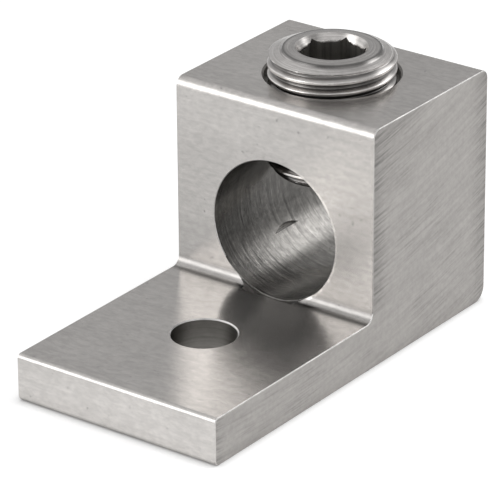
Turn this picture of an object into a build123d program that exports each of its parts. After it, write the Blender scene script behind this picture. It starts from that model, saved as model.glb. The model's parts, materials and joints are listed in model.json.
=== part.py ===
from build123d import *
import math
import os

# One-hole mechanical lug: an L-shaped aluminium body and its hexagon-socket set screw.
# Millimetres. X runs across the lug, Y from the tongue towards the block, Z up from the base.
# The origin is on the stud hole's axis, in the plane of the base.

# Extruded L section
lug_width = 38.1
tongue_length = 41.1
tongue_thickness = 8.0
block_depth = 31.6
block_height = 40.3
top_front_radius = 1.6
top_back_radius = 1.6
bottom_back_radius = 2.4
inner_fillet_radius = 1.6
tongue_top_radius = 0.8
tongue_bottom_radius = 0.9
saw_edge_break = 0.15

# Stud hole in the tongue
stud_hole_diameter = 10.5
stud_hole_from_end = 22.6
stud_hole_edge_break = 0.2

# Wire port through the block
wire_port_diameter = 23.5
wire_port_floor = 6.85
wire_port_edge_break = 0.2
wire_entry_chamfer = 0.5
port_cutter_overrun = 2.3

# Set screw, plain at its thread's outer diameter
thread_diameter = 20.64
screw_length = 20.64
screw_stand_out = 4.5
screw_point_chamfer = 1.2
head_face_radius = 7.9
head_face_drop = 0.2
head_step_width = 0.3
head_step_depth = 0.35
head_cone_angle = 19.0
hex_across_flats = 9.525
hex_depth = 9.5
hex_turn = 41.3
hex_mouth_diameter = 11.7
hex_mouth_angle = 70.0
hex_pilot_diameter = 9.8
hex_pilot_point_angle = 118.0

# Tapped hole above the wire port, cut clear of the screw's thread
thread_clearance = 0.08
counterbore_clearance = 0.58
counterbore_depth = 1.6
counterbore_edge_break = 0.3
tap_drill_diameter = 19.05
tap_drill_reach = 29.3
tap_reach = 20.0

# Places that follow from the sizes above
tongue_end_y = -stud_hole_from_end
block_front_y = tongue_end_y + tongue_length
block_back_y = block_front_y + block_depth
screw_axis_y = block_front_y + block_depth / 2
port_axis_z = wire_port_floor + wire_port_diameter / 2
screw_top_z = block_height + screw_stand_out
screw_point_z = screw_top_z - screw_length
thread_radius = thread_diameter / 2
spare = 1.0


def corner(section, y, z):
    """The section's vertex at this place."""
    return section.vertices().sort_by_distance(Vector(0, y, z))[0]


def l_section():
    """The L profile in the YZ plane, with each corner's own radius."""
    outline = Polyline(
        (0, tongue_end_y, 0),
        (0, block_back_y, 0),
        (0, block_back_y, block_height),
        (0, block_front_y, block_height),
        (0, block_front_y, tongue_thickness),
        (0, tongue_end_y, tongue_thickness),
        close=True,
    )
    section = make_face(outline)
    rounded = [
        (tongue_end_y, 0, tongue_bottom_radius),
        (block_back_y, 0, bottom_back_radius),
        (block_back_y, block_height, top_back_radius),
        (block_front_y, block_height, top_front_radius),
        (block_front_y, tongue_thickness, inner_fillet_radius),
        (tongue_end_y, tongue_thickness, tongue_top_radius),
    ]
    for y, z, radius in rounded:
        section = fillet(corner(section, y, z), radius)
    return section


def upright_cylinder(radius, low_z, high_z, y):
    """A cylinder along Z, centred across the lug."""
    height = high_z - low_z
    return Pos(0, y, low_z + height / 2) * Cylinder(radius, height)


def upright_cone(low_radius, high_radius, low_z, high_z, y):
    """A cone along Z, centred across the lug."""
    height = high_z - low_z
    return Pos(0, y, low_z + height / 2) * Cone(low_radius, high_radius, height)


def port_solid(front_radius, back_radius, front_y, back_y):
    """A cylinder or cone along the wire port's axis."""
    length = back_y - front_y
    place = Pos(0, front_y + length / 2, port_axis_z) * Rot(-90, 0, 0)
    if front_radius == back_radius:
        return place * Cylinder(front_radius, length)
    return place * Cone(front_radius, back_radius, length)


def wire_port():
    """The port's bore with its broken front edge and chamfered wire entry."""
    radius = wire_port_diameter / 2
    bore = port_solid(radius, radius, block_front_y - port_cutter_overrun, block_back_y + spare)
    front_edge = port_solid(
        radius + wire_port_edge_break, radius, block_front_y, block_front_y + wire_port_edge_break
    )
    entry = port_solid(radius, radius + wire_entry_chamfer, block_back_y - wire_entry_chamfer, block_back_y)
    return bore + front_edge + entry


def stud_hole():
    """The stud hole with both rims broken."""
    radius = stud_hole_diameter / 2
    rim = radius + stud_hole_edge_break
    hole = upright_cylinder(radius, -spare, tongue_thickness + spare, 0)
    top = upright_cone(radius, rim, tongue_thickness - stud_hole_edge_break, tongue_thickness, 0)
    base = upright_cone(rim, radius, 0, stud_hole_edge_break, 0)
    return hole + top + base


def screw_hole():
    """Counterbore, tapped bore at the thread's outer size, and the tap drill that nicks the port's wall."""
    tapped = upright_cylinder(
        thread_radius + thread_clearance, block_height - tap_reach, block_height + spare, screw_axis_y
    )
    counterbore_radius = thread_radius + counterbore_clearance
    counterbore_floor = block_height - counterbore_depth
    counterbore = upright_cylinder(counterbore_radius, counterbore_floor, block_height + spare, screw_axis_y)
    rim = upright_cone(
        counterbore_radius,
        counterbore_radius + counterbore_edge_break,
        block_height - counterbore_edge_break,
        block_height,
        screw_axis_y,
    )
    drilled = upright_cylinder(
        tap_drill_diameter / 2, block_height - tap_drill_reach, block_height, screw_axis_y
    )
    return tapped + counterbore + rim + drilled


def make_lug_body():
    """The sawn length of L extrusion with its three holes."""
    half = lug_width / 2
    blank = extrude(l_section(), amount=half, dir=(1, 0, 0), both=True)
    sides = blank.faces().filter_by(Axis.X)
    blank = chamfer(sides.edges(), saw_edge_break)
    return blank - stud_hole() - wire_port() - screw_hole()


def screw_blank():
    """The screw as turned about its own axis: flat point, crowned, stepped and coned head."""
    point_radius = thread_radius - screw_point_chamfer
    mouth_radius = hex_mouth_diameter / 2
    step_radius = head_face_radius + head_step_width
    face_rim_z = screw_length - head_face_drop
    step_foot_z = face_rim_z - head_step_depth
    cone_drop = (thread_radius - step_radius) * math.tan(math.radians(head_cone_angle))
    outline = Polyline(
        (0, 0, 0),
        (point_radius, 0, 0),
        (thread_radius, 0, screw_point_chamfer),
        (thread_radius, 0, step_foot_z - cone_drop),
        (step_radius, 0, step_foot_z),
        (head_face_radius, 0, face_rim_z),
        (mouth_radius, 0, screw_length),
        (0, 0, screw_length),
        close=True,
    )
    return revolve(make_face(outline), Axis.Z)


def hex_socket():
    """The socket: a drilled pilot with its point, the broached hexagon and a countersunk mouth."""
    top = screw_length
    floor = top - hex_depth
    pilot_radius = hex_pilot_diameter / 2
    mouth_radius = hex_mouth_diameter / 2
    hexagon = Rot(0, 0, hex_turn) * RegularPolygon(hex_across_flats / 2, 6, major_radius=False, rotation=0)
    prism = extrude(Pos(0, 0, floor) * hexagon, amount=hex_depth)
    pilot = upright_cylinder(pilot_radius, floor, top, 0)
    point_height = pilot_radius / math.tan(math.radians(hex_pilot_point_angle / 2))
    point = upright_cone(0, pilot_radius, floor - point_height, floor, 0)
    mouth_depth = (mouth_radius - pilot_radius) / math.tan(math.radians(hex_mouth_angle / 2))
    mouth = upright_cone(pilot_radius, mouth_radius, top - mouth_depth, top, 0)
    return prism + pilot + point + mouth


def make_set_screw():
    """The set screw, seated in the block."""
    screw = screw_blank() - hex_socket()
    return Pos(0, screw_axis_y, screw_point_z) * screw


os.makedirs("parts", exist_ok=True)
export_step(make_lug_body(), "parts/lug_body.step")
export_step(make_set_screw(), "parts/set_screw.step")
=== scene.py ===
import json
import math

import bmesh
import bpy
from mathutils import Matrix, Vector


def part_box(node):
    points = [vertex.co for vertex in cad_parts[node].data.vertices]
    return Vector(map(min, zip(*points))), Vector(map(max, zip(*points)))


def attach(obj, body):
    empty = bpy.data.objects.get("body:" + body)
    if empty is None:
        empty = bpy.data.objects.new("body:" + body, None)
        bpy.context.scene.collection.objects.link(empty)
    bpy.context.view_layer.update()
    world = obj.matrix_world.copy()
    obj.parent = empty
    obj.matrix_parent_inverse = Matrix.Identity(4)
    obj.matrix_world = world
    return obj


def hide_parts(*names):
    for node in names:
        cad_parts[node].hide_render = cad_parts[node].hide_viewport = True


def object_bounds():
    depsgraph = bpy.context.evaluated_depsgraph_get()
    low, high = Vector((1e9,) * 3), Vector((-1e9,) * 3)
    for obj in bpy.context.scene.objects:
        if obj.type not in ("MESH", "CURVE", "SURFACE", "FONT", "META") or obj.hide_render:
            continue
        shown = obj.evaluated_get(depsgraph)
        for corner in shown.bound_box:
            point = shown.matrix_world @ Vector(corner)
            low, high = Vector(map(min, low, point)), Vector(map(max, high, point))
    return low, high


# Mechanical lug: sawn and drilled aluminium body with a turned hexagon-socket set screw.
# Metres, in the frame's axes: X across, Y from the tongue to the block, Z up from the base.
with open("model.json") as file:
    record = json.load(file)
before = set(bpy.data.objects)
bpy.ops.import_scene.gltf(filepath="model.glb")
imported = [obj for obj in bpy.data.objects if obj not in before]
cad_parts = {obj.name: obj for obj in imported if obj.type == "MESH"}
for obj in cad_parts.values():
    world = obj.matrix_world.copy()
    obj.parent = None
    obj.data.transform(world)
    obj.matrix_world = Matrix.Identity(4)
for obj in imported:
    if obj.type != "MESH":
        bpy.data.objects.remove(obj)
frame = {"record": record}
cad_low, cad_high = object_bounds()

MM = 0.001
inch = 25.4 * MM
body_low, body_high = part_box("lug_body")
screw_low, screw_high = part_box("set_screw")
stud_hole = {m["name"]: m for m in frame["record"]["mounts"]}["stud_hole"]["dims"]

# L section
half_width = body_high.x
tongue_end_y = body_low.y
block_back_y = body_high.y
block_top_z = body_high.z
block_depth = 31.6 * MM
block_front_y = block_back_y - block_depth
tongue_top_z = stud_hole["length_mm"] * MM
tongue_bottom_radius = 0.9 * MM
bottom_back_radius = 2.4 * MM
top_back_radius = 1.6 * MM
top_front_radius = 1.6 * MM
inner_fillet_radius = 1.6 * MM
tongue_top_radius = 0.8 * MM
saw_edge_break = 0.15 * MM

# Holes
stud_radius = stud_hole["r_mm"] * MM
stud_edge_break = 0.2 * MM
port_radius = 11.75 * MM
port_floor_z = 6.85 * MM
port_axis_z = port_floor_z + port_radius
port_edge_break = 0.1 * MM
wire_entry_chamfer = 0.5 * MM
port_cutter_overrun = 2.3 * MM
counterbore_clearance = 0.58 * MM
counterbore_depth = 1.6 * MM
counterbore_edge_break = 0.3 * MM
tap_drill_radius = 9.525 * MM
tap_drill_reach = 29.3 * MM
tap_reach = 20.0 * MM
spare = 1.0 * MM

# Set screw
screw_axis_y = (screw_low.y + screw_high.y) / 2
screw_length = screw_high.z - screw_low.z
thread_radius = 10.32 * MM
threads_per_inch = 14
thread_pitch = inch / threads_per_inch
thread_flank_angle = 30
thread_crest = 0.22 * thread_pitch
thread_root = 0.23 * thread_pitch
thread_flank = (thread_pitch - thread_crest - thread_root) / 2
thread_depth = thread_flank / math.tan(math.radians(thread_flank_angle))
thread_start_turn = 0.246
thread_rounding = 0.06 * MM
thread_clearance = 0.08 * MM
point_chamfer = 1.2 * MM
head_face_radius = 7.9 * MM
head_face_drop = 0.2 * MM
head_step_width = 0.3 * MM
head_step_depth = 0.35 * MM
head_cone_angle = 19
head_cone_slope = math.tan(math.radians(head_cone_angle))
hex_across_flats = 9.525 * MM
hex_radius = hex_across_flats / 2
hex_depth = 9.5 * MM
hex_turn = math.radians(41.3)
pilot_radius = 4.9 * MM
pilot_point_angle = 118
pilot_point_slope = math.tan(math.radians(90 - pilot_point_angle / 2))
mouth_radius = 5.85 * MM
mouth_angle = 70
mouth_slope = math.tan(math.radians(90 - mouth_angle / 2))

# Mesh fineness
ARC_STEPS = 12
EDGE_STEPS = 4
HOLE_SEGMENTS = 160
SCREW_SEGMENTS = 192
MOUTH_STEPS = 4
THREAD_ROW = 0.06 * MM
BODY_CREASE = 25
SCREW_CREASE = 40

# Bare aluminium, by how each surface was made, with painted shade in the bored colour and a painted
# highlight in the edge colour
EXTRUDED = (0.545, 0.526, 0.508)
SAWN = (0.395, 0.379, 0.364)
# Darker partly as painted shade inside the wire port
BORED_AND_SHADED = (0.215, 0.208, 0.198)
DRILLED = (0.25, 0.24, 0.225)
TURNED = (0.56, 0.54, 0.525)
BROACHED = (0.34, 0.328, 0.313)
# Painted highlight: a paler colour for upward edges, not a finish of their own
EDGE_HIGHLIGHT = (0.75, 0.735, 0.72)

# Studio: fill light, floor, the lamp that casts the floor's shadow, and the tent that metal mirrors
WORLD_FILL = 0.5
FLOOR_HALF = 3.0
FLOOR_WHITE = 0.6
LAMP_WAY = (0.3, 0.3, 0.9)
LAMP_DISTANCE = 0.5
LAMP_SIDE = 0.3
LAMP_BRIGHTNESS = 2.0
TENT_RADIUS = 1.2
TENT_BRIGHTNESS = 0.55

# Light tent panels: facing, long axis, half sizes and softness in degrees, brightness
PANELS = [
    ((-0.54, -0.73, 0.42), (0, 0.5, 0.86), 27, 19, 11, 1.9),
    ((-0.54, -0.73, 0.42), (0, 0.5, 0.86), 14, 17, 9, 3.8),
    ((-0.85, 0.1, 0.45), (0, 1, 0), 28, 14, 8, 1.4),
    ((-0.54, 0.73, 0.42), (1, 0.75, 0), 32, 17, 5, 0.54),
    ((0.64, 0.74, 0.2), (0.76, -0.65, 0), 24, 13, 9, 0.8),
    ((0.34, 0.74, 0.62), (1, 0, 0), 18, 11, 7, 2.9),
    ((0.45, -0.62, 0.64), (1, 0, 0), 28, 22, 8, 0.2),
    ((0.42, -0.56, 0.71), (0.8, 0.6, 0), 40, 7, 4, 1.7),
    ((-0.54, 0.0, 0.84), (0, 1, 0), 25, 13, 11, 0.8),
]


def new_object(name, vertices, faces):
    """A mesh object from points and faces."""
    mesh = bpy.data.meshes.new(name)
    mesh.from_pydata(vertices, [], faces)
    mesh.validate()
    obj = bpy.data.objects.new(name, mesh)
    bpy.context.scene.collection.objects.link(obj)
    return obj


def section_outline(inset):
    """The L outline in (y, z), pulled in by inset, with an arc at each corner."""
    corners = [
        (Vector((tongue_end_y, 0)), tongue_bottom_radius),
        (Vector((block_back_y, 0)), bottom_back_radius),
        (Vector((block_back_y, block_top_z)), top_back_radius),
        (Vector((block_front_y, block_top_z)), top_front_radius),
        (Vector((block_front_y, tongue_top_z)), inner_fillet_radius),
        (Vector((tongue_end_y, tongue_top_z)), tongue_top_radius),
    ]
    points = []
    for i, (place, radius) in enumerate(corners):
        before = corners[i - 1][0]
        after = corners[(i + 1) % len(corners)][0]
        way_in = (place - before).normalized()
        way_out = (after - place).normalized()
        inward = Vector((-way_in.y - way_out.y, way_in.x + way_out.x))
        convex = way_in.cross(way_out) > 0
        rho = radius - inset if convex else radius + inset
        centre = place + inset * inward + rho * (way_out - way_in)
        for step in range(ARC_STEPS + 1):
            turn = math.pi / 2 * step / ARC_STEPS
            points.append(centre + rho * (way_in * math.sin(turn) - way_out * math.cos(turn)))
    return points


def body_blank():
    """The sawn length of L extrusion, with its side edges broken to a small round."""
    rows = []
    for step in range(EDGE_STEPS + 1):
        turn = math.pi / 2 * step / EDGE_STEPS
        inset = saw_edge_break * (1 - math.sin(turn))
        x = half_width - saw_edge_break * (1 - math.cos(turn))
        rows.append((x, section_outline(inset)))
    rows += [(-x, outline) for x, outline in reversed(rows)]
    count = len(rows[0][1])
    vertices = [(x, p.x, p.y) for x, outline in rows for p in outline]
    faces = [tuple(range(count)), tuple(range(len(vertices) - 1, len(vertices) - count - 1, -1))]
    for row in range(len(rows) - 1):
        for i in range(count):
            j = (i + 1) % count
            a, b = row * count, (row + 1) * count
            faces.append((a + j, a + i, b + i, b + j))
    return new_object("lug_body_metal", vertices, faces)


def closed_grid(name, rings):
    """A closed solid through rings of points, the first and last capped."""
    count = len(rings[0])
    vertices = [p for ring in rings for p in ring]
    faces = [tuple(range(count - 1, -1, -1))]
    faces.append(tuple(range(len(vertices) - count, len(vertices))))
    for row in range(len(rings) - 1):
        for i in range(count):
            j = (i + 1) % count
            a, b = row * count, (row + 1) * count
            faces.append((a + i, a + j, b + j, b + i))
    return new_object(name, vertices, faces)


def turned(name, outline, place):
    """A solid turned about its own Z through (radius, height) points, then placed."""
    rings = []
    for radius, height in outline:
        ring = []
        for i in range(HOLE_SEGMENTS):
            turn = 2 * math.pi * i / HOLE_SEGMENTS
            ring.append(place @ Vector((radius * math.cos(turn), radius * math.sin(turn), height)))
        rings.append(ring)
    return closed_grid(name, rings)


def sharp_thread(height, turn):
    """The radius of the thread's straight-sided form at a height and an angle about the axis."""
    start = -(1 + thread_start_turn) * thread_pitch
    along = height - start - thread_pitch * turn / (2 * math.pi)
    offset = abs((along / thread_pitch + 0.5) % 1 - 0.5) * thread_pitch
    share = min(max((offset - thread_root / 2) / thread_flank, 0), 1)
    return thread_radius - thread_depth * (1 - share)


def thread_surface(height, turn):
    """The thread's radius with its crests and roots slightly rounded."""
    below = sharp_thread(height - thread_rounding, turn)
    above = sharp_thread(height + thread_rounding, turn)
    return (below + sharp_thread(height, turn) + above) / 3


def port_cutter():
    """The wire port, with its broken front edge and chamfered wire entry."""
    front = block_front_y
    back = block_back_y
    outline = [
        (port_radius, front - port_cutter_overrun),
        (port_radius, front),
        (port_radius + port_edge_break, front),
        (port_radius, front + port_edge_break),
        (port_radius, back - wire_entry_chamfer),
        (port_radius + wire_entry_chamfer, back),
        (port_radius + wire_entry_chamfer, back + spare),
    ]
    place = Matrix.Translation((0, 0, port_axis_z)) @ Matrix.Rotation(-math.pi / 2, 4, "X")
    return turned("port_cutter", outline, place)


def stud_cutter():
    """The stud hole, with both rims broken."""
    rim = stud_radius + stud_edge_break
    outline = [
        (rim, -spare),
        (rim, 0),
        (stud_radius, stud_edge_break),
        (stud_radius, tongue_top_z - stud_edge_break),
        (rim, tongue_top_z),
        (rim, tongue_top_z + spare),
    ]
    return turned("stud_cutter", outline, Matrix.Identity(4))


def drill_cutter():
    """The tap drill's full reach, which nicks both walls of the port."""
    outline = [
        (tap_drill_radius, block_top_z - tap_drill_reach),
        (tap_drill_radius, block_top_z - counterbore_depth - spare),
    ]
    return turned("drill_cutter", outline, Matrix.Translation((0, screw_axis_y, 0)))


def tapped_cutter():
    """The tapped hole with its female thread, counterbore and broken rim."""
    counterbore_radius = thread_radius + counterbore_clearance
    floor = block_top_z - counterbore_depth
    low = block_top_z - tap_reach
    turns = [2 * math.pi * i / HOLE_SEGMENTS for i in range(HOLE_SEGMENTS)]
    rows = []
    count = round((floor - low) / THREAD_ROW)
    for row in range(count + 1):
        z = low + (floor - low) * row / count
        threads = [thread_surface(z - screw_low.z, turn) + thread_clearance for turn in turns]
        rows.append((z, [max(radius, tap_drill_radius) for radius in threads]))
    mouth = [
        (counterbore_radius, floor),
        (counterbore_radius, block_top_z - counterbore_edge_break),
        (counterbore_radius + counterbore_edge_break, block_top_z),
        (counterbore_radius + counterbore_edge_break, block_top_z + spare),
    ]
    rows += [(z, [radius] * HOLE_SEGMENTS) for radius, z in mouth]
    rings = []
    for z, radii in rows:
        spots = zip(radii, turns)
        rings.append([(r * math.cos(turn), screw_axis_y + r * math.sin(turn), z) for r, turn in spots])
    return closed_grid("tapped_cutter", rings)


def cut(obj, cutter):
    """Takes the cutter's solid out of the object and deletes the cutter."""
    boolean = obj.modifiers.new("cut", "BOOLEAN")
    boolean.operation = "DIFFERENCE"
    boolean.solver = "EXACT"
    boolean.object = cutter
    bpy.context.view_layer.update()
    depsgraph = bpy.context.evaluated_depsgraph_get()
    mesh = bpy.data.meshes.new_from_object(obj.evaluated_get(depsgraph))
    obj.modifiers.clear()
    obj.data = mesh
    bpy.data.objects.remove(cutter)


def make_body():
    """The lug body, cut from its blank."""
    body = body_blank()
    for cutter in (stud_cutter(), port_cutter(), drill_cutter(), tapped_cutter()):
        cut(body, cutter)
    return body


def head_profile(radius):
    """The drop below the screw's top at a radius, from the face's rim outwards."""
    beyond_rim = radius - head_face_radius
    if beyond_rim < head_step_width:
        return head_face_drop + head_step_depth * beyond_rim / head_step_width
    return head_face_drop + head_step_depth + (beyond_rim - head_step_width) * head_cone_slope


def blank_radius(height):
    """The radius of the unthreaded screw at a height above its point, up to the face's rim."""
    if height < point_chamfer:
        return thread_radius - point_chamfer + height
    drop = screw_length - height - head_face_drop
    if drop < head_step_depth:
        return head_face_radius + head_step_width * max(drop, 0) / head_step_depth
    cone_radius = head_face_radius + head_step_width + (drop - head_step_depth) / head_cone_slope
    return min(cone_radius, thread_radius)


def socket_reach(turn):
    """The socket wall's distance from the axis: hexagon corners standing out of a round pilot."""
    sector = math.pi / 3
    from_flat = (turn - hex_turn) % sector - sector / 2
    return max(hex_radius / math.cos(from_flat), pilot_radius)


def screw_rings(turns):
    """Each ring's radii and heights above the point: up the thread, over the head, down the socket."""

    def level(value):
        return [value] * len(turns)

    point_face_radius = 0.5 * thread_radius
    rings = [(level(point_face_radius), level(0))]
    rim_height = screw_length - head_face_drop
    count = round(rim_height / THREAD_ROW)
    for row in range(count + 1):
        height = rim_height * row / count
        blank = blank_radius(height)
        rings.append(([min(thread_surface(height, turn), blank) for turn in turns], level(height)))
    rings.append((level(mouth_radius), level(screw_length)))
    reaches = [socket_reach(turn) for turn in turns]
    for step in range(1, MOUTH_STEPS + 1):
        share = step / MOUTH_STEPS
        radii = [mouth_radius + (reach - mouth_radius) * share for reach in reaches]
        rings.append((radii, [screw_length - (mouth_radius - radius) * mouth_slope for radius in radii]))
    floor = screw_length - hex_depth
    rings.append((reaches, level(floor)))
    rings.append((level(0.98 * pilot_radius), level(floor)))
    tip_radius = 0.1 * pilot_radius
    rings.append((level(tip_radius), level(floor - (pilot_radius - tip_radius) * pilot_point_slope)))
    return rings


def make_screw():
    """The set screw, through rings of points about its axis."""
    turns = [hex_turn + 2 * math.pi * i / SCREW_SEGMENTS for i in range(SCREW_SEGMENTS)]
    points = []
    for radii, heights in screw_rings(turns):
        ring = []
        for turn, radius, height in zip(turns, radii, heights):
            x, y = radius * math.cos(turn), radius * math.sin(turn)
            ring.append((x, screw_axis_y + y, screw_low.z + height))
        points.append(ring)
    return closed_grid("set_screw_metal", points)


def shade(obj, angle):
    """Smooth shading inside surfaces, sharp where they meet at more than the angle."""
    mesh = obj.data
    mesh.shade_smooth()
    mesh.set_sharp_from_angle(angle=math.radians(angle))
    weighted = obj.modifiers.new("flat faces stay flat", "WEIGHTED_NORMAL")
    weighted.keep_sharp = True


class Nodes:
    """A node tree, with short ways to add to it."""

    def __init__(self, tree):
        self.tree = tree

    def put(self, socket, value):
        """Links a socket to the value's socket, or sets it to the value."""
        if isinstance(value, bpy.types.NodeSocket):
            self.tree.links.new(value, socket)
        else:
            socket.default_value = value

    def add(self, kind, inputs=(), **settings):
        """A node with its settings and inputs."""
        node = self.tree.nodes.new(kind)
        for key, value in settings.items():
            setattr(node, key, value)
        for key, value in dict(inputs).items():
            self.put(node.inputs[key], value)
        return node

    def math(self, operation, *values):
        """The result of a math node."""
        return self.add("ShaderNodeMath", enumerate(values), operation=operation).outputs[0]

    def product(self, first, *others):
        """All the values multiplied."""
        for other in others:
            first = self.math("MULTIPLY", first, other)
        return first

    def total(self, first, *others):
        """All the values added."""
        for other in others:
            first = self.math("ADD", first, other)
        return first

    def most(self, first, *others):
        """The largest of the values."""
        for other in others:
            first = self.math("MAXIMUM", first, other)
        return first

    def reach(self, a, b):
        """The distance from nought to (a, b)."""
        return self.math("SQRT", self.total(self.product(a, a), self.product(b, b)))

    def gap(self, value, mark):
        """How far a value lies from a mark, either way."""
        return self.math("ABSOLUTE", self.math("SUBTRACT", value, mark))

    def vector(self, operation, *values):
        """A vector math node."""
        return self.add("ShaderNodeVectorMath", enumerate(values), operation=operation)

    def dot(self, a, b):
        """The dot product of two vectors."""
        return self.vector("DOT_PRODUCT", a, b).outputs["Value"]

    def combine(self, x, y, z):
        """A vector from three values."""
        return self.add("ShaderNodeCombineXYZ", {"X": x, "Y": y, "Z": z}).outputs[0]

    def here(self):
        """The point on the piece, in metres."""
        return self.add("ShaderNodeTexCoord").outputs["Object"]

    def place(self):
        """The point on the piece, as separate X, Y and Z."""
        return self.add("ShaderNodeSeparateXYZ", {"Vector": self.here()}).outputs

    def noise(self, vector, scale=1.0, detail=2.0, roughness=0.5):
        """Noise from 0 to 1, mostly between 0.35 and 0.65."""
        inputs = {"Vector": vector, "Scale": scale, "Detail": detail, "Roughness": roughness}
        return self.add("ShaderNodeTexNoise", inputs).outputs["Fac"]

    def remap(self, value, from_low, from_high, to_low, to_high, **settings):
        """A straight ramp between two ends, flat beyond them."""
        inputs = {"Value": value, "From Min": from_low, "From Max": from_high}
        inputs.update({"To Min": to_low, "To Max": to_high})
        return self.add("ShaderNodeMapRange", inputs, **settings).outputs["Result"]

    def ease(self, value, from_low, from_high, to_low, to_high):
        """A ramp that starts and ends softly."""
        return self.remap(value, from_low, from_high, to_low, to_high, interpolation_type="SMOOTHSTEP")

    def scaled(self, colour, factor):
        """A colour times a factor."""
        node = self.vector("SCALE", colour)
        self.put(node.inputs["Scale"], factor)
        return node.outputs[0]


def new_material(name):
    """A material with its nodes and its shader at hand."""
    material = bpy.data.materials.new(name)
    material.use_nodes = True
    n = Nodes(material.node_tree)
    return material, n, n.tree.nodes["Principled BSDF"]


def spread(n, places, rates):
    """Coordinates in marks per metre, each place times its rate: marks run along the low rate."""
    return n.combine(*[n.product(place, rate) for place, rate in zip(places, rates)])


def cross_normal(n, way):
    """The direction along the surface at right angles to a way."""
    normal = n.add("ShaderNodeNewGeometry").outputs["Normal"]
    return n.vector("CROSS_PRODUCT", normal, way).outputs[0]


def metal(
    name,
    colour,
    roughness,
    anisotropy,
    space,
    depth,
    tone,
    blur=None,
    local_tone=None,
    cloud=0.05,
    shine=1.0,
    dull=None,
):
    """Bare aluminium.

    Space gives the tool marks' coordinates, depth their relief and tone their contrast. Blur is the
    direction in which they smear reflections, local_tone a factor on the colour from place to place,
    cloud the strength of the mottling, shine how metallic it is, and dull what the roughness gains.
    """
    material, n, shader = new_material(name)
    marks_at = space(n)
    fine = n.noise(marks_at, roughness=0.6)
    coarse = n.noise(marks_at, 0.37)
    marks = n.total(n.product(fine, 0.55), n.product(coarse, 0.45))
    broad = n.noise(n.here(), 120.0)
    stretched = n.vector("MULTIPLY", n.here(), (0.5, 1.0, 1.0)).outputs[0]
    mottle = n.noise(stretched, 1300.0, roughness=0.65)
    factor = n.product(
        n.remap(marks, 0.35, 0.65, 1 - tone, 1 + tone),
        n.remap(broad, 0.35, 0.65, 1 - 0.4 * cloud, 1 + 0.4 * cloud),
        n.remap(mottle, 0.35, 0.65, 1 - cloud, 1 + cloud),
    )
    if local_tone:
        factor = n.product(factor, local_tone(n, marks_at))
    n.put(shader.inputs["Base Color"], n.scaled(colour, factor))
    shader.inputs["Metallic"].default_value = shine
    rough = n.remap(broad, 0.3, 0.7, roughness - 0.01, roughness + 0.01)
    if dull:
        rough = n.total(rough, dull(n))
    n.put(shader.inputs["Roughness"], rough)
    shader.inputs["Anisotropic"].default_value = anisotropy
    if blur:
        n.put(shader.inputs["Tangent"], blur(n))
    bump = n.add("ShaderNodeBump", {"Height": marks, "Distance": depth})
    n.put(shader.inputs["Normal"], bump.outputs["Normal"])
    return material


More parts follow.
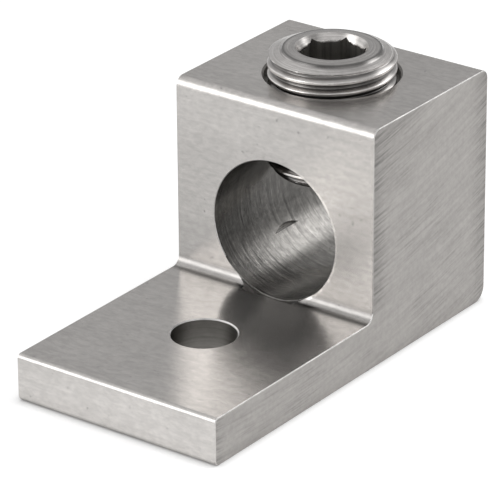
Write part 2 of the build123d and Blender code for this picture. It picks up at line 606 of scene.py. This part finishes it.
def extruded_metal():
    """Die lines along X on every face of the section."""

    def space(n):
        return spread(n, n.place(), (70, 2300, 2300))

    def blur(n):
        return cross_normal(n, (1, 0, 0))

    def block_front(n, y):
        """One on the block's front and in the fillet below it, nought on the tongue."""
        return n.remap(y, block_front_y - 2.5 * MM, block_front_y - 1.5 * MM, 0, 1)

    def shade(n, x, y, z):
        """Painted shade: how much the block's front darkens downwards, in the fillet and to the right.
        """
        downwards = n.remap(z, tongue_top_z + 1 * MM, block_top_z - 6 * MM, 0.37, -0.02)
        in_fillet = n.remap(z, tongue_top_z + 0.9 * MM, tongue_top_z + 2.2 * MM, 0.12, 0)
        to_right = n.remap(x, 0, half_width, 0, 0.06)
        return n.product(block_front(n, y), n.total(downwards, in_fillet, to_right))

    def fillet_highlight_and_shadow_line(n, y, z):
        """Painted highlight on the lower half of the inner fillet, less a thin painted shadow line at
        its foot.
        """
        into_corner = n.math("SUBTRACT", y, block_front_y - inner_fillet_radius)
        over_tongue = n.math("SUBTRACT", z, tongue_top_z)
        highlit = n.product(
            n.ease(into_corner, 0.1 * inner_fillet_radius, 0.45 * inner_fillet_radius, 0, 0.38),
            n.ease(over_tongue, 0.08 * inner_fillet_radius, 0.36 * inner_fillet_radius, 1, 0),
        )
        line = n.remap(n.reach(into_corner, over_tongue), 0.3 * MM, 1.4 * MM, 0.06, 0)
        return n.math("SUBTRACT", highlit, line)

    def burr_highlight(n, x, y, z):
        """A broken painted highlight along a burr on the right of the wire port's rim."""
        from_axis = n.reach(x, n.math("SUBTRACT", z, port_axis_z))
        at_rim = n.remap(n.gap(from_axis, port_radius + 0.25 * MM), 0.1 * MM, 0.3 * MM, 1, 0)
        on_right = n.remap(x, 0.2 * port_radius, 0.7 * port_radius, 0, 1)
        broken = n.remap(n.noise(n.here(), 1100.0), 0.4, 0.62, 0.2, 1)
        return n.product(at_rim, on_right, block_front(n, y), broken, 0.4)

    def edge_shade_and_specks(n, y, z):
        """Uneven painted shade that dims the highlights along the front edges of both tops, and small
        specks all over.
        """
        block_edge = n.product(
            n.ease(z, block_top_z - 1.6 * MM, block_top_z - 1.1 * MM, 0, 1),
            n.ease(y, block_front_y + 0.3 * MM, block_front_y + 0.8 * MM, 1, 0),
        )
        tongue_edge = n.product(
            n.ease(z, tongue_top_z - 0.8 * MM, tongue_top_z - 0.55 * MM, 0, 1),
            n.ease(y, tongue_end_y + 0.15 * MM, tongue_end_y + 0.4 * MM, 1, 0),
        )
        uneven = n.remap(n.noise(n.here(), 260.0, 3.0, 0.6), 0.35, 0.65, 0.26, 0.08)
        specks = n.remap(n.noise(n.here(), 900.0), 0.70, 0.76, 0, 0.3)
        return n.total(n.product(n.most(block_edge, tongue_edge), uneven), specks)

    def local_tone(n, marks_at):
        x, y, z = n.place()
        # Painted highlights from the fillet and the burr, less painted shade, times the painted edge
        # shade and the specks
        lit = n.total(1, fillet_highlight_and_shadow_line(n, y, z), burr_highlight(n, x, y, z))
        return n.product(
            n.math("SUBTRACT", lit, shade(n, x, y, z)),
            n.math("SUBTRACT", 1, edge_shade_and_specks(n, y, z)),
        )

    def dull(n):
        """A duller stretch of the block's front, right of the wire port."""
        x, y, z = n.place()
        return n.product(
            n.ease(y, block_front_y - 1.2 * MM, block_front_y - 0.2 * MM, 0, 1),
            n.ease(x, 0.5 * port_radius, 1.1 * port_radius, 0, 0.055),
            n.ease(z, port_axis_z - 9 * MM, port_axis_z - 2 * MM, 0, 1),
            n.ease(z, port_axis_z + 3 * MM, port_axis_z + 12 * MM, 1, 0),
        )

    return metal(
        "extruded", EXTRUDED, 0.205, 0.96, space, 1.2e-6, 0.04, blur, local_tone, cloud=0.065, dull=dull
    )


def sawn_metal():
    """The arcs of a large saw blade across the cut sides, with darker scores where it came through."""
    blade_y, blade_z = -9 * MM, 205 * MM
    smear_turn = math.radians(13.5)

    def space(n):
        x, y, z = n.place()
        from_blade = n.reach(n.math("SUBTRACT", y, blade_y), n.math("SUBTRACT", z, blade_z))
        return spread(n, (from_blade, y, x), (2700, 110, 400))

    def local_tone(n, marks_at):
        x, y, z = n.place()
        on_block = n.remap(z, tongue_top_z, tongue_top_z + 4 * MM, 0, 1)
        from_front = n.gap(y, block_front_y)
        near_front = n.product(n.remap(from_front, 0.5 * MM, 6 * MM, 1, 0), on_block)
        near_end = n.remap(n.math("SUBTRACT", y, tongue_end_y), 0.3 * MM, 3 * MM, 1, 0)
        near_back = n.remap(n.math("SUBTRACT", block_back_y, y), 0.5 * MM, 5 * MM, 0.8, 0)
        below_top = n.math("SUBTRACT", block_top_z, z)
        from_corner = n.total(n.product(from_front, 0.8), n.product(below_top, 0.6))
        near_corner = n.remap(from_corner, 4 * MM, 14 * MM, 0.9, 0)
        patch = n.remap(n.noise(n.here(), 90.0), 0.45, 0.65, 0, 0.45)
        share = n.most(near_front, near_end, near_back, near_corner, patch)
        score = n.remap(n.noise(marks_at, 0.8, 4.0, 0.75), 0.46, 0.62, 0, 1)
        scores = n.remap(n.product(score, share), 0, 1, 1, 0.55)
        # Painted shade: darker bands along the block's front and back edges and at its top front corner
        band = n.product(n.remap(from_front, 1 * MM, 3.5 * MM, 1, 0), on_block)
        shade = n.most(band, near_back, n.product(near_corner, 0.8))
        return n.product(scores, n.remap(shade, 0, 1, 1, 0.84))

    def blur(n):
        return n.combine(0, -math.sin(smear_turn), math.cos(smear_turn))

    return metal("sawn", SAWN, 0.44, 0.6, space, 1.1e-5, 0.085, blur, local_tone)


def port_metal():
    """Rings left by the drill round the wire port."""

    def space(n):
        return spread(n, n.place(), (160, 2900, 160))

    def blur(n):
        return n.combine(0, 1, 0)

    def local_tone(n, marks_at):
        """Deep and bright rings, most torn at the front of the lower left, with painted light on the
        floor and painted shade up the walls.
        """
        x, y, z = n.place()
        inside = n.math("SUBTRACT", y, block_front_y)
        low = n.remap(z, port_axis_z - 8 * MM, port_axis_z + 2 * MM, 1, 0)
        scored = n.product(low, n.math("LESS_THAN", x, 0), n.remap(inside, 4 * MM, 12 * MM, 0.8, 0))
        torn = n.total(n.remap(n.noise(n.here(), 150.0, 3.0, 0.6), 0.42, 0.6, 0.2, 1), scored)
        line = n.noise(marks_at, 0.9, 4.0, 0.8)
        deep = n.product(n.remap(line, 0.45, 0.38, 0, 1), torn, 0.5)
        bright = n.product(n.remap(line, 0.56, 0.64, 0, 1), torn, 0.55)
        rings = n.math("SUBTRACT", n.total(1, bright), deep)
        # Painted light and shade: the floor paler, the upper walls darker
        level = n.remap(z, port_axis_z - port_radius + 1.5 * MM, port_axis_z - 3 * MM, 1.6, 0.66)
        return n.product(rings, level)

    return metal("bored", BORED_AND_SHADED, 0.27, 0.9, space, 1.4e-5, 0.22, blur, local_tone, cloud=0.18)


def hole_metal():
    """Rings left by the drill and tap in the upright holes."""

    def space(n):
        return spread(n, n.place(), (60, 60, 2500))

    def blur(n):
        return n.combine(0, 0, 1)

    return metal("drilled", DRILLED, 0.36, 0.7, space, 8e-6, 0.15, blur)


def turned_metal():
    """Rings left by the lathe round the screw's axis."""
    head_low_z = screw_high.z - 1.35 * MM
    thread_root_radius = thread_radius - thread_depth

    def from_axis(n):
        x, y, z = n.place()
        return x, n.math("SUBTRACT", y, screw_axis_y), z

    def space(n):
        x, y, z = from_axis(n)
        return spread(n, (n.reach(x, y), z, n.math("ARCTAN2", y, x)), (2600, 2600, 0.7))

    def blur(n):
        x, y, z = from_axis(n)
        return cross_normal(n, n.combine(n.product(y, -1), x, 0))

    def local_tone(n, marks_at):
        """Painted shade in the thread roots and at the head step, painted highlights on the crests, a
        darker face, and rings.
        """
        x, y, z = from_axis(n)
        reach = n.reach(x, y)
        # Painted shade darkens the thread roots and the head step, and painted highlight brightens the
        # crests
        root_shade_and_crest_highlight = n.remap(reach, thread_root_radius + 0.15 * MM, thread_radius - 0.08 * MM, 1, -0.25)
        step_shade = n.remap(n.gap(reach, head_face_radius), 0.1 * MM, 0.5 * MM, 1, 0)
        in_thread = n.math("LESS_THAN", z, head_low_z)
        on_head = n.math("GREATER_THAN", z, head_low_z)
        shade_and_highlight = n.total(n.product(root_shade_and_crest_highlight, in_thread), n.product(step_shade, on_head))
        painted_light_factor = n.remap(shade_and_highlight, 0, 1, 1, 0.32, clamp=False)
        on_face = n.math("LESS_THAN", reach, head_face_radius)
        rings = n.remap(n.noise(marks_at, 1.9, roughness=0.6), 0.38, 0.62, 0.9, 1.1)
        return n.product(painted_light_factor, n.remap(on_face, 0, 1, 1.05, 0.83), rings)

    return metal("turned", TURNED, 0.235, 0.7, space, 1.4e-5, 0.16, blur, local_tone)


def broached_metal():
    """Upright tears left by the broach in the socket."""

    def space(n):
        return spread(n, n.place(), (1900, 1900, 60))

    return metal("broached", BROACHED, 0.38, 0.0, space, 1.5e-5, 0.35)


def edge_highlight_metal():
    """A painted highlight on edges along the saw cuts and round the holes' rims."""

    def space(n):
        return spread(n, n.place(), (500, 500, 500))

    return metal("edge highlight", EDGE_HIGHLIGHT, 0.38, 0.0, space, 3e-6, 0.2, shine=0.6)


def body_finish(place, facing):
    """The number of the finish that the body has at a place, by the tool that made the face there;
    upward edges, the nick's floor and the upper rims get the painted edge highlight.
    """
    extruded, sawn, bored, drilled, highlit = range(5)
    near = 0.02 * MM
    straight = 0.99
    x, y, z = place
    from_port = math.hypot(x, z - port_axis_z)
    from_stud = math.hypot(x, y)
    from_screw = math.hypot(x, y - screw_axis_y)
    hole_reach = thread_radius + counterbore_clearance + counterbore_edge_break
    in_port = y > block_front_y - port_cutter_overrun and from_port < port_radius + wire_entry_chamfer
    off_port_wall = facing.x * x + facing.z * (z - port_axis_z) + port_radius
    if abs(x) > half_width - near and abs(facing.x) > straight:
        return sawn
    # Painted highlight on the nick's floor, and below on upward edges and the upper rims
    if in_port and facing.z > straight and abs(z - (block_top_z - tap_drill_reach)) < near:
        return highlit
    if abs(x) > half_width - saw_edge_break - near and abs(facing.x) > 0.05:
        return highlit if facing.z > 0.1 else extruded
    if in_port and abs(off_port_wall) < 2 * near and abs(facing.y) < 0.05:
        return bored
    if abs(facing.z) > straight and min(abs(z), abs(z - tongue_top_z), abs(z - block_top_z)) < near:
        return extruded
    if from_stud < stud_radius + stud_edge_break:
        slanted = max(abs(facing.x), abs(facing.y), abs(facing.z)) < 0.98
        return highlit if slanted and abs(facing.z) > 0.3 else drilled
    if from_screw < hole_reach and z > port_axis_z + near:
        return drilled
    if in_port and abs(facing.y) < 0.9:
        rim = abs(facing.y) > 0.3 and y < block_front_y + port_edge_break
        return highlit if rim and z > port_axis_z - 0.6 * port_radius else bored
    return extruded


def dress_body(body):
    """Gives each face of the body its finish."""
    for material in (extruded_metal(), sawn_metal(), port_metal(), hole_metal(), edge_highlight_metal()):
        body.data.materials.append(material)
    for polygon in body.data.polygons:
        polygon.material_index = body_finish(polygon.center, polygon.normal)


def dress_screw(screw):
    """Turned metal outside, broached metal inside the socket."""
    screw.data.materials.append(turned_metal())
    screw.data.materials.append(broached_metal())
    socket_radius = 5.6 * MM
    socket_low = screw_high.z - hex_depth - 4 * MM
    for polygon in screw.data.polygons:
        x, y, z = polygon.center
        inside = math.hypot(x, y - screw_axis_y) < socket_radius and z > socket_low
        deep = z < screw_high.z - 2 * MM
        steep = abs(polygon.normal.z) < 0.3 and z < screw_high.z - 0.5 * MM
        polygon.material_index = 1 if inside and (deep or steep) else 0


def aim(obj, direction, distance):
    """Places a lamp in a direction from the lug, facing it."""
    way = Vector(direction).normalized()
    middle = (cad_low + cad_high) / 2
    turn = way.to_track_quat("Z", "Y").to_matrix().to_4x4()
    obj.matrix_world = Matrix.Translation(middle + way * distance) @ turn


def softbox(name, direction, distance, side, brightness):
    """A square area lamp whose face has the given brightness, for the floor's soft shadow."""
    lamp = bpy.data.lights.new(name, "AREA")
    lamp.shape = "SQUARE"
    lamp.size = side
    lamp.energy = brightness * math.pi * side * side
    obj = bpy.data.objects.new(name, lamp)
    bpy.context.scene.collection.objects.link(obj)
    obj.visible_glossy = False
    aim(obj, direction, distance)


def panel(n, way, light, facing, along, half_long, half_wide, soft, brightness):
    """The tent's light with a soft-edged panel laid over it. Half sizes are in degrees."""
    centre = Vector(facing).normalized()
    length = (Vector(along) - centre * centre.dot(Vector(along))).normalized()
    breadth = centre.cross(length)
    edge = math.sin(math.radians(soft))
    mask = n.math("GREATER_THAN", n.dot(way, centre), 0)
    for axis, half in ((length, half_long), (breadth, half_wide)):
        off = n.math("ABSOLUTE", n.dot(way, axis))
        limit = math.sin(math.radians(half))
        mask = n.product(mask, n.ease(off, limit - edge, limit + edge, 1, 0))
    return n.total(light, n.product(mask, n.math("SUBTRACT", brightness, light)))


def make_tent(radius, brightness, panels):
    """A round light tent that only reflections see, with brighter and darker panels."""
    mesh = bpy.data.meshes.new("light tent")
    ball = bmesh.new()
    bmesh.ops.create_icosphere(ball, subdivisions=5, radius=radius)
    ball.to_mesh(mesh)
    ball.free()
    tent = bpy.data.objects.new("light tent", mesh)
    bpy.context.scene.collection.objects.link(tent)
    tent.location = (0, screw_axis_y / 2, 0)
    material, n, shader = new_material("light tent")
    way = n.vector("NORMALIZE", n.here()).outputs[0]
    light = brightness
    for facing, along, half_long, half_wide, soft, level in panels:
        light = panel(n, way, light, facing, along, half_long, half_wide, soft, level)
    shader.inputs["Base Color"].default_value = (0, 0, 0, 1)
    shader.inputs["Specular IOR Level"].default_value = 0
    shader.inputs["Emission Color"].default_value = (1, 1, 1, 1)
    n.put(shader.inputs["Emission Strength"], light)
    mesh.materials.append(material)
    tent.visible_camera = False
    tent.visible_diffuse = False
    tent.visible_shadow = False


def seen_directly_or_mirrored(n):
    """One for camera, glossy and transmission rays, and nought for the rest."""
    path = n.add("ShaderNodeLightPath").outputs
    return n.most(path["Is Camera Ray"], path["Is Glossy Ray"], path["Is Transmission Ray"])


def make_floor(half, own_white):
    """A pale floor that keeps the lug's soft shadow, with a contact shadow painted by ambient occlusion
    and a painted shadow that makes it less white to the front left in reflections.
    """
    corners = [(-half, -half, 0), (half, -half, 0), (half, half, 0), (-half, half, 0)]
    obj = new_object("floor", corners, [(0, 1, 2, 3)])
    material, n, shader = new_material("floor")
    shader.inputs["Base Color"].default_value = (0.8, 0.8, 0.8, 1)
    shader.inputs["Roughness"].default_value = 1
    shader.inputs["Specular IOR Level"].default_value = 0
    shader.inputs["Emission Color"].default_value = (1, 1, 1, 1)
    to_back_right = n.dot(n.here(), (0.803, 0.596, 0))
    # Painted shadow: less white to the front left, seen only in reflections
    reflected_white_with_painted_shadow = n.remap(to_back_right, -55 * MM, -33 * MM, 0.6 * own_white, own_white)
    looked_at = n.add("ShaderNodeLightPath").outputs["Is Camera Ray"]
    white = n.most(reflected_white_with_painted_shadow, n.product(looked_at, own_white))
    # Ambient occlusion on the emitted white paints a contact shadow
    open_sky = n.add("ShaderNodeAmbientOcclusion", {"Distance": 1.5 * MM}, samples=8).outputs["AO"]
    n.put(shader.inputs["Emission Strength"], n.product(seen_directly_or_mirrored(n), white, open_sky))
    obj.data.materials.append(material)


def make_world(fill):
    """White where it is seen or mirrored, and a plain fill light elsewhere."""
    world = bpy.data.worlds.new("studio")
    bpy.context.scene.world = world
    world.use_nodes = True
    n = Nodes(world.node_tree)
    ground = n.tree.nodes["Background"]
    ground.inputs["Color"].default_value = (1, 1, 1, 1)
    n.put(ground.inputs["Strength"], n.remap(seen_directly_or_mirrored(n), 0, 1, fill, 1))


def make_camera():
    """The camera, at the photograph's viewpoint."""
    azimuth = math.radians(36.57)
    elevation = math.radians(24.75)
    roll = math.radians(-0.447)
    distance = 644.6 * MM
    target = Vector((-1.13, 13.65, 16.83)) * MM
    lens = 295.6
    level = math.cos(elevation)
    back = Vector((math.sin(azimuth) * level, -math.cos(azimuth) * level, math.sin(elevation)))
    right = Vector((0, 0, 1)).cross(back).normalized()
    up = back.cross(right)
    cosine, sine = math.cos(roll), math.sin(roll)
    right, up = cosine * right + sine * up, cosine * up - sine * right
    data = bpy.data.cameras.new("camera")
    data.sensor_width = 36
    data.lens = lens
    data.clip_start = 0.01
    data.clip_end = 20
    camera = bpy.data.objects.new("camera", data)
    bpy.context.scene.collection.objects.link(camera)
    turn = Matrix((right, up, back)).transposed().to_4x4()
    camera.matrix_world = Matrix.Translation(target + back * distance) @ turn
    bpy.context.scene.camera = camera


body = make_body()
screw = make_screw()
shade(body, BODY_CREASE)
shade(screw, SCREW_CREASE)
dress_body(body)
dress_screw(screw)
for piece, node in ((body, "lug_body"), (screw, "set_screw")):
    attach(piece, node)
    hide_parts(node)

make_camera()
make_world(WORLD_FILL)
make_floor(FLOOR_HALF, FLOOR_WHITE)
softbox("key", LAMP_WAY, LAMP_DISTANCE, LAMP_SIDE, LAMP_BRIGHTNESS)
make_tent(TENT_RADIUS, TENT_BRIGHTNESS, PANELS)
bpy.context.scene.view_settings.view_transform = "Standard"
